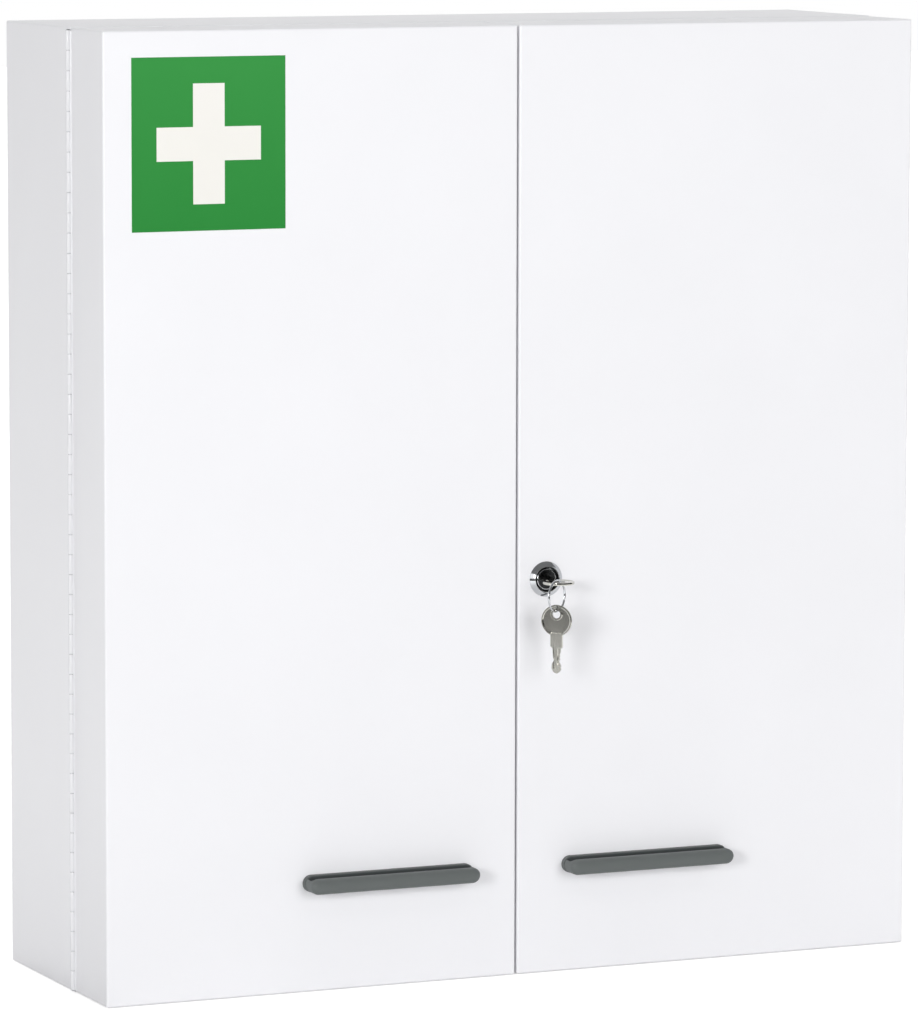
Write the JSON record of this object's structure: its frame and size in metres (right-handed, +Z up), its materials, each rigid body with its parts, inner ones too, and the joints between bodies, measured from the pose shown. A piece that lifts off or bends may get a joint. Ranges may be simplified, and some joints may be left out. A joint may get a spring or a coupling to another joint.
{
  "type": "lockable medicine cabinet",
  "caption": "Lockable steel wall cabinet with two box doors on full-height hinges, shelves, door trays, a cam lock with hanging keys, slide bolts and bar handles.",
  "frame": {"origin": "middle of the closed cabinet's footprint, without the handles, on the flat underside of the body", "axes": "+X to the right as seen from the front, +Y towards the wall, the doors open towards -Y, +Z up"},
  "size_m": [0.6508, 0.2394, 0.7],
  "materials": {
    "white_powder_coat": "satin",
    "zinc_plate": "satin",
    "bright_chrome": "polished",
    "dark_nickel": "satin",
    "key_nickel": "satin",
    "grey_plastic": "matte",
    "black_plastic": "matte",
    "black_rubber": "matte",
    "sign_green": "satin",
    "sign_white": "satin"
  },
  "bodies": {
    "cabinet": {"body_shell": "white_powder_coat", "front_frame": "white_powder_coat", "back_panel": "white_powder_coat", "left_shelf_rails": "white_powder_coat", "right_shelf_rails": "white_powder_coat", "shelf_clips": "zinc_plate", "lower_shelf": "white_powder_coat", "middle_shelf": "white_powder_coat", "upper_shelf": "white_powder_coat", "left_hinge_body_leaf": "white_powder_coat", "right_hinge_body_leaf": "white_powder_coat", "left_hinge_pin": "zinc_plate", "right_hinge_pin": "zinc_plate", "door_bumpers": "black_rubber"},
    "left_door": {"left_door_box": "white_powder_coat", "left_hinge_door_leaf": "white_powder_coat", "left_bottom_tray": "white_powder_coat", "left_middle_tray": "white_powder_coat", "left_top_tray": "white_powder_coat", "left_handle": "grey_plastic", "left_handle_screws": "zinc_plate", "sticker_field": "sign_green", "sticker_cross": "sign_white", "bolt_guides": "zinc_plate"},
    "upper_slide_bolt": {"upper_bolt": "zinc_plate", "upper_bolt_knob": "black_plastic"},
    "lower_slide_bolt": {"lower_bolt": "zinc_plate", "lower_bolt_knob": "black_plastic"},
    "right_door": {"right_door_box": "white_powder_coat", "right_hinge_door_leaf": "white_powder_coat", "right_bottom_tray": "white_powder_coat", "right_middle_tray": "white_powder_coat", "right_top_tray": "white_powder_coat", "right_handle": "grey_plastic", "right_handle_screws": "zinc_plate", "lock_housing": "bright_chrome", "lock_nut": "zinc_plate"},
    "lock": {"lock_plug": "dark_nickel", "lock_cam": "zinc_plate", "cam_screw": "zinc_plate"},
    "key_in_lock": {"door_key": "key_nickel"},
    "ring": {"key_ring": "bright_chrome"},
    "key_on_ring": {"spare_key": "key_nickel"}
  },
  "joints": [
    {"name": "left_door_swing", "type": "hinge", "parent": "cabinet", "child": "left_door", "pos_m": [-0.32337, -0.034, 0], "axis": [0, 0, -1], "range_deg": [0, 180]},
    {"name": "right_door_swing", "type": "hinge", "parent": "cabinet", "child": "right_door", "pos_m": [0.32337, -0.034, 0], "axis": [0, 0, 1], "range_deg": [0, 180]},
    {"name": "upper_bolt_slide", "type": "slide", "parent": "left_door", "child": "upper_slide_bolt", "axis": [0, 0, 1], "range_m": [0, 0.012]},
    {"name": "lower_bolt_slide", "type": "slide", "parent": "left_door", "child": "lower_slide_bolt", "axis": [0, 0, -1], "range_m": [0, 0.012]},
    {"name": "lock_turn", "type": "hinge", "parent": "right_door", "child": "lock", "pos_m": [0.0229, -0.1, 0.2936], "axis": [0, -1, 0], "range_deg": [0, 90]},
    {"name": "key_slide", "type": "slide", "parent": "lock", "child": "key_in_lock", "axis": [0, -1, 0], "range_m": [0, 0.024]},
    {"name": "ring_hang", "type": "hinge", "parent": "key_in_lock", "child": "ring", "pos_m": [0.0229, -0.1, 0.2936], "axis": [0, -1, 0], "range_deg": [-90, 0]},
    {"name": "spare_key_swing", "type": "hinge", "parent": "ring", "child": "key_on_ring", "pos_m": [0.01749, -0.13109, 0.27355], "axis": [-0.8192, -0.5736, 0], "range_deg": [-35, 60]}
  ],
  "couplings": [
    {"joint": "ring_hang", "follows": "lock_turn", "ratio": -1}
  ]
}
